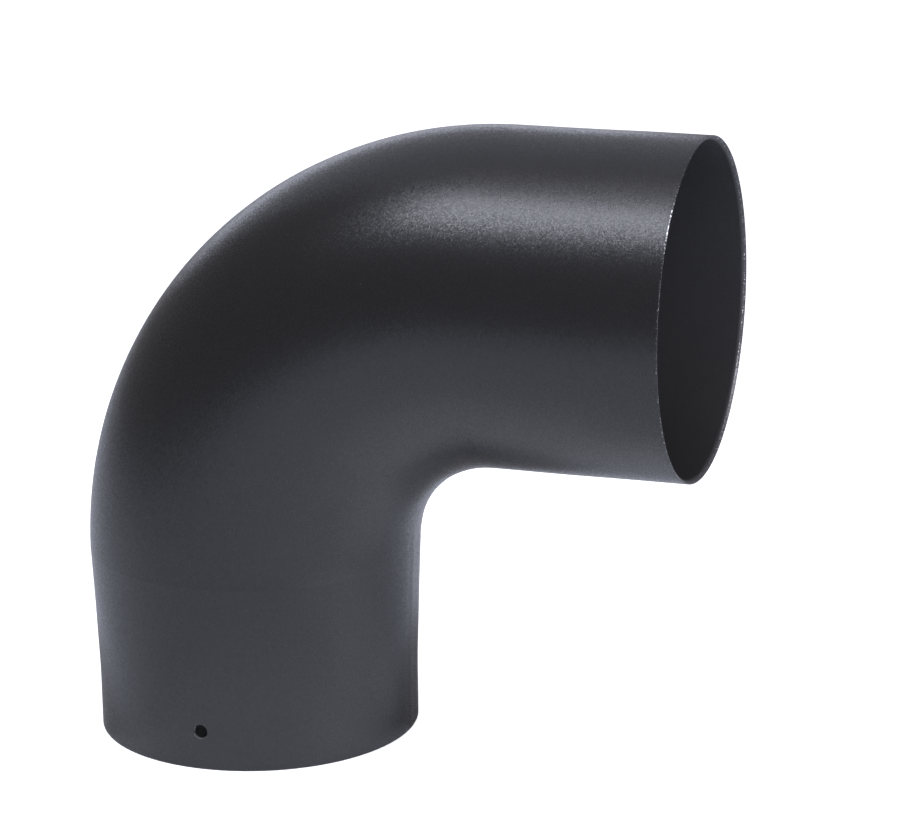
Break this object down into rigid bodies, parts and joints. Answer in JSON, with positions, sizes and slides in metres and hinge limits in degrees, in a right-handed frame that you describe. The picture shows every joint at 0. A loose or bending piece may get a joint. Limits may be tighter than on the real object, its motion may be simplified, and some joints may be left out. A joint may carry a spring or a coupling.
{
  "type": "flue elbow",
  "caption": "Smooth 90 degree stove pipe elbow in welded steel, matt black, with a reduced spigot, one locking screw hole and a plain open outlet.",
  "frame": {"origin": "on the spigot's axis, in the plane of the spigot's rim", "axes": "+Z along the spigot's axis into the elbow, +X along the outlet's axis out of the elbow, +Y away from the locking screw hole"},
  "size_m": [0.2922, 0.1544, 0.2892],
  "materials": {
    "stove_paint": "matt high-temperature stove paint",
    "painted_weld": "matt paint over a ground weld"
  },
  "bodies": {
    "root": {"spigot_sleeve": "stove_paint", "spigot_seam_weld": "painted_weld", "spigot_ring_weld": "painted_weld", "bend_half_front": "stove_paint", "bend_half_rear": "stove_paint", "bend_outer_seam_weld": "painted_weld", "bend_inner_seam_weld": "painted_weld", "outlet_ring_weld": "painted_weld", "outlet_sleeve": "stove_paint", "outlet_seam_weld": "painted_weld"}
  },
  "joints": []
}
